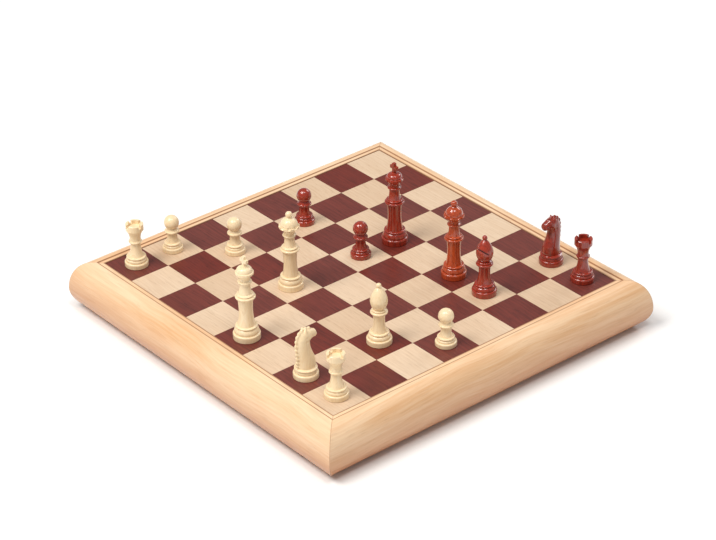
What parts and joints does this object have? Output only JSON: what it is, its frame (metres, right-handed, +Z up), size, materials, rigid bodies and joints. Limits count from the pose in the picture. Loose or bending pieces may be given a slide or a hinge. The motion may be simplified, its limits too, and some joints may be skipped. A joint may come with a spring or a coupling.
{
  "type": "games compendium box",
  "caption": "Square wooden games box: mitred bull-nosed frame, lift-out board with a chess face and a draughts face, flocked insert with pockets, chessmen and draughts.",
  "frame": {"origin": "middle of the underside, where the box rests on a table", "axes": "+Z up, +X along the front rail towards the right, +Y from the front rail to the back rail; the light men's side of the board is the front"},
  "size_m": [0.3048, 0.3048, 0.1043],
  "materials": {
    "frame_wood": "satin",
    "panel_wood": "matte",
    "red_flock": "matte",
    "light_draughts": "satin",
    "dark_draughts": "satin",
    "board_core": "matte",
    "light_squares": "satin",
    "dark_squares": "satin",
    "light_men": "satin",
    "dark_men": "gloss"
  },
  "bodies": {
    "box": {"rail_front": "frame_wood", "rail_right": "frame_wood", "rail_back": "frame_wood", "rail_left": "frame_wood", "mitre_splines": "frame_wood", "base_panel": "panel_wood", "insert_left": "red_flock", "insert_centre": "red_flock", "insert_right": "red_flock", "draughts_dark_left": "dark_draughts", "draughts_dark_right": "dark_draughts", "draughts_light_left": "light_draughts", "draughts_light_right": "light_draughts", "light_knight_1": "light_men", "light_bishop_1": "light_men", "light_pawn_3": "light_men", "light_pawn_4": "light_men", "light_pawn_5": "light_men", "light_pawn_6": "light_men", "light_pawn_7": "light_men", "dark_rook_1": "dark_men", "dark_knight_1": "dark_men", "dark_bishop_1": "dark_men", "dark_pawn_1": "dark_men", "dark_pawn_3": "dark_men", "dark_pawn_5": "dark_men", "dark_pawn_6": "dark_men", "dark_pawn_7": "dark_men", "dark_pawn_8": "dark_men"},
    "board": {"board_core": "board_core", "chess_squares_light": "light_squares", "chess_squares_dark": "dark_squares", "draughts_squares_light": "light_squares", "draughts_squares_dark": "dark_squares"},
    "light_rook_1_body": {"light_rook_1": "light_men"},
    "light_king_body": {"light_king": "light_men"},
    "light_queen_body": {"light_queen": "light_men"},
    "light_bishop_2_body": {"light_bishop_2": "light_men"},
    "light_knight_2_body": {"light_knight_2": "light_men"},
    "light_rook_2_body": {"light_rook_2": "light_men"},
    "light_pawn_1_body": {"light_pawn_1": "light_men"},
    "light_pawn_2_body": {"light_pawn_2": "light_men"},
    "light_pawn_8_body": {"light_pawn_8": "light_men"},
    "dark_king_body": {"dark_king": "dark_men"},
    "dark_queen_body": {"dark_queen": "dark_men"},
    "dark_bishop_2_body": {"dark_bishop_2": "dark_men"},
    "dark_knight_2_body": {"dark_knight_2": "dark_men"},
    "dark_rook_2_body": {"dark_rook_2": "dark_men"},
    "dark_pawn_2_body": {"dark_pawn_2": "dark_men"},
    "dark_pawn_4_body": {"dark_pawn_4": "dark_men"}
  },
  "joints": [
    {"name": "board_lift", "type": "slide", "parent": "box", "child": "board", "axis": [0, 0, 1], "range_m": [0, 0.25]},
    {"name": "light_rook_1_lift", "type": "slide", "parent": "board", "child": "light_rook_1_body", "axis": [0, 0, 1], "range_m": [0, 0.1]},
    {"name": "light_king_lift", "type": "slide", "parent": "board", "child": "light_king_body", "axis": [0, 0, 1], "range_m": [0, 0.1]},
    {"name": "light_queen_lift", "type": "slide", "parent": "board", "child": "light_queen_body", "axis": [0, 0, 1], "range_m": [0, 0.1]},
    {"name": "light_bishop_2_lift", "type": "slide", "parent": "board", "child": "light_bishop_2_body", "axis": [0, 0, 1], "range_m": [0, 0.1]},
    {"name": "light_knight_2_lift", "type": "slide", "parent": "board", "child": "light_knight_2_body", "axis": [0, 0, 1], "range_m": [0, 0.1]},
    {"name": "light_rook_2_lift", "type": "slide", "parent": "board", "child": "light_rook_2_body", "axis": [0, 0, 1], "range_m": [0, 0.1]},
    {"name": "light_pawn_1_lift", "type": "slide", "parent": "board", "child": "light_pawn_1_body", "axis": [0, 0, 1], "range_m": [0, 0.1]},
    {"name": "light_pawn_2_lift", "type": "slide", "parent": "board", "child": "light_pawn_2_body", "axis": [0, 0, 1], "range_m": [0, 0.1]},
    {"name": "light_pawn_8_lift", "type": "slide", "parent": "board", "child": "light_pawn_8_body", "axis": [0, 0, 1], "range_m": [0, 0.1]},
    {"name": "dark_king_lift", "type": "slide", "parent": "board", "child": "dark_king_body", "axis": [0, 0, 1], "range_m": [0, 0.1]},
    {"name": "dark_queen_lift", "type": "slide", "parent": "board", "child": "dark_queen_body", "axis": [0, 0, 1], "range_m": [0, 0.1]},
    {"name": "dark_bishop_2_lift", "type": "slide", "parent": "board", "child": "dark_bishop_2_body", "axis": [0, 0, 1], "range_m": [0, 0.1]},
    {"name": "dark_knight_2_lift", "type": "slide", "parent": "board", "child": "dark_knight_2_body", "axis": [0, 0, 1], "range_m": [0, 0.1]},
    {"name": "dark_rook_2_lift", "type": "slide", "parent": "board", "child": "dark_rook_2_body", "axis": [0, 0, 1], "range_m": [0, 0.1]},
    {"name": "dark_pawn_2_lift", "type": "slide", "parent": "board", "child": "dark_pawn_2_body", "axis": [0, 0, 1], "range_m": [0, 0.1]},
    {"name": "dark_pawn_4_lift", "type": "slide", "parent": "board", "child": "dark_pawn_4_body", "axis": [0, 0, 1], "range_m": [0, 0.1]}
  ]
}
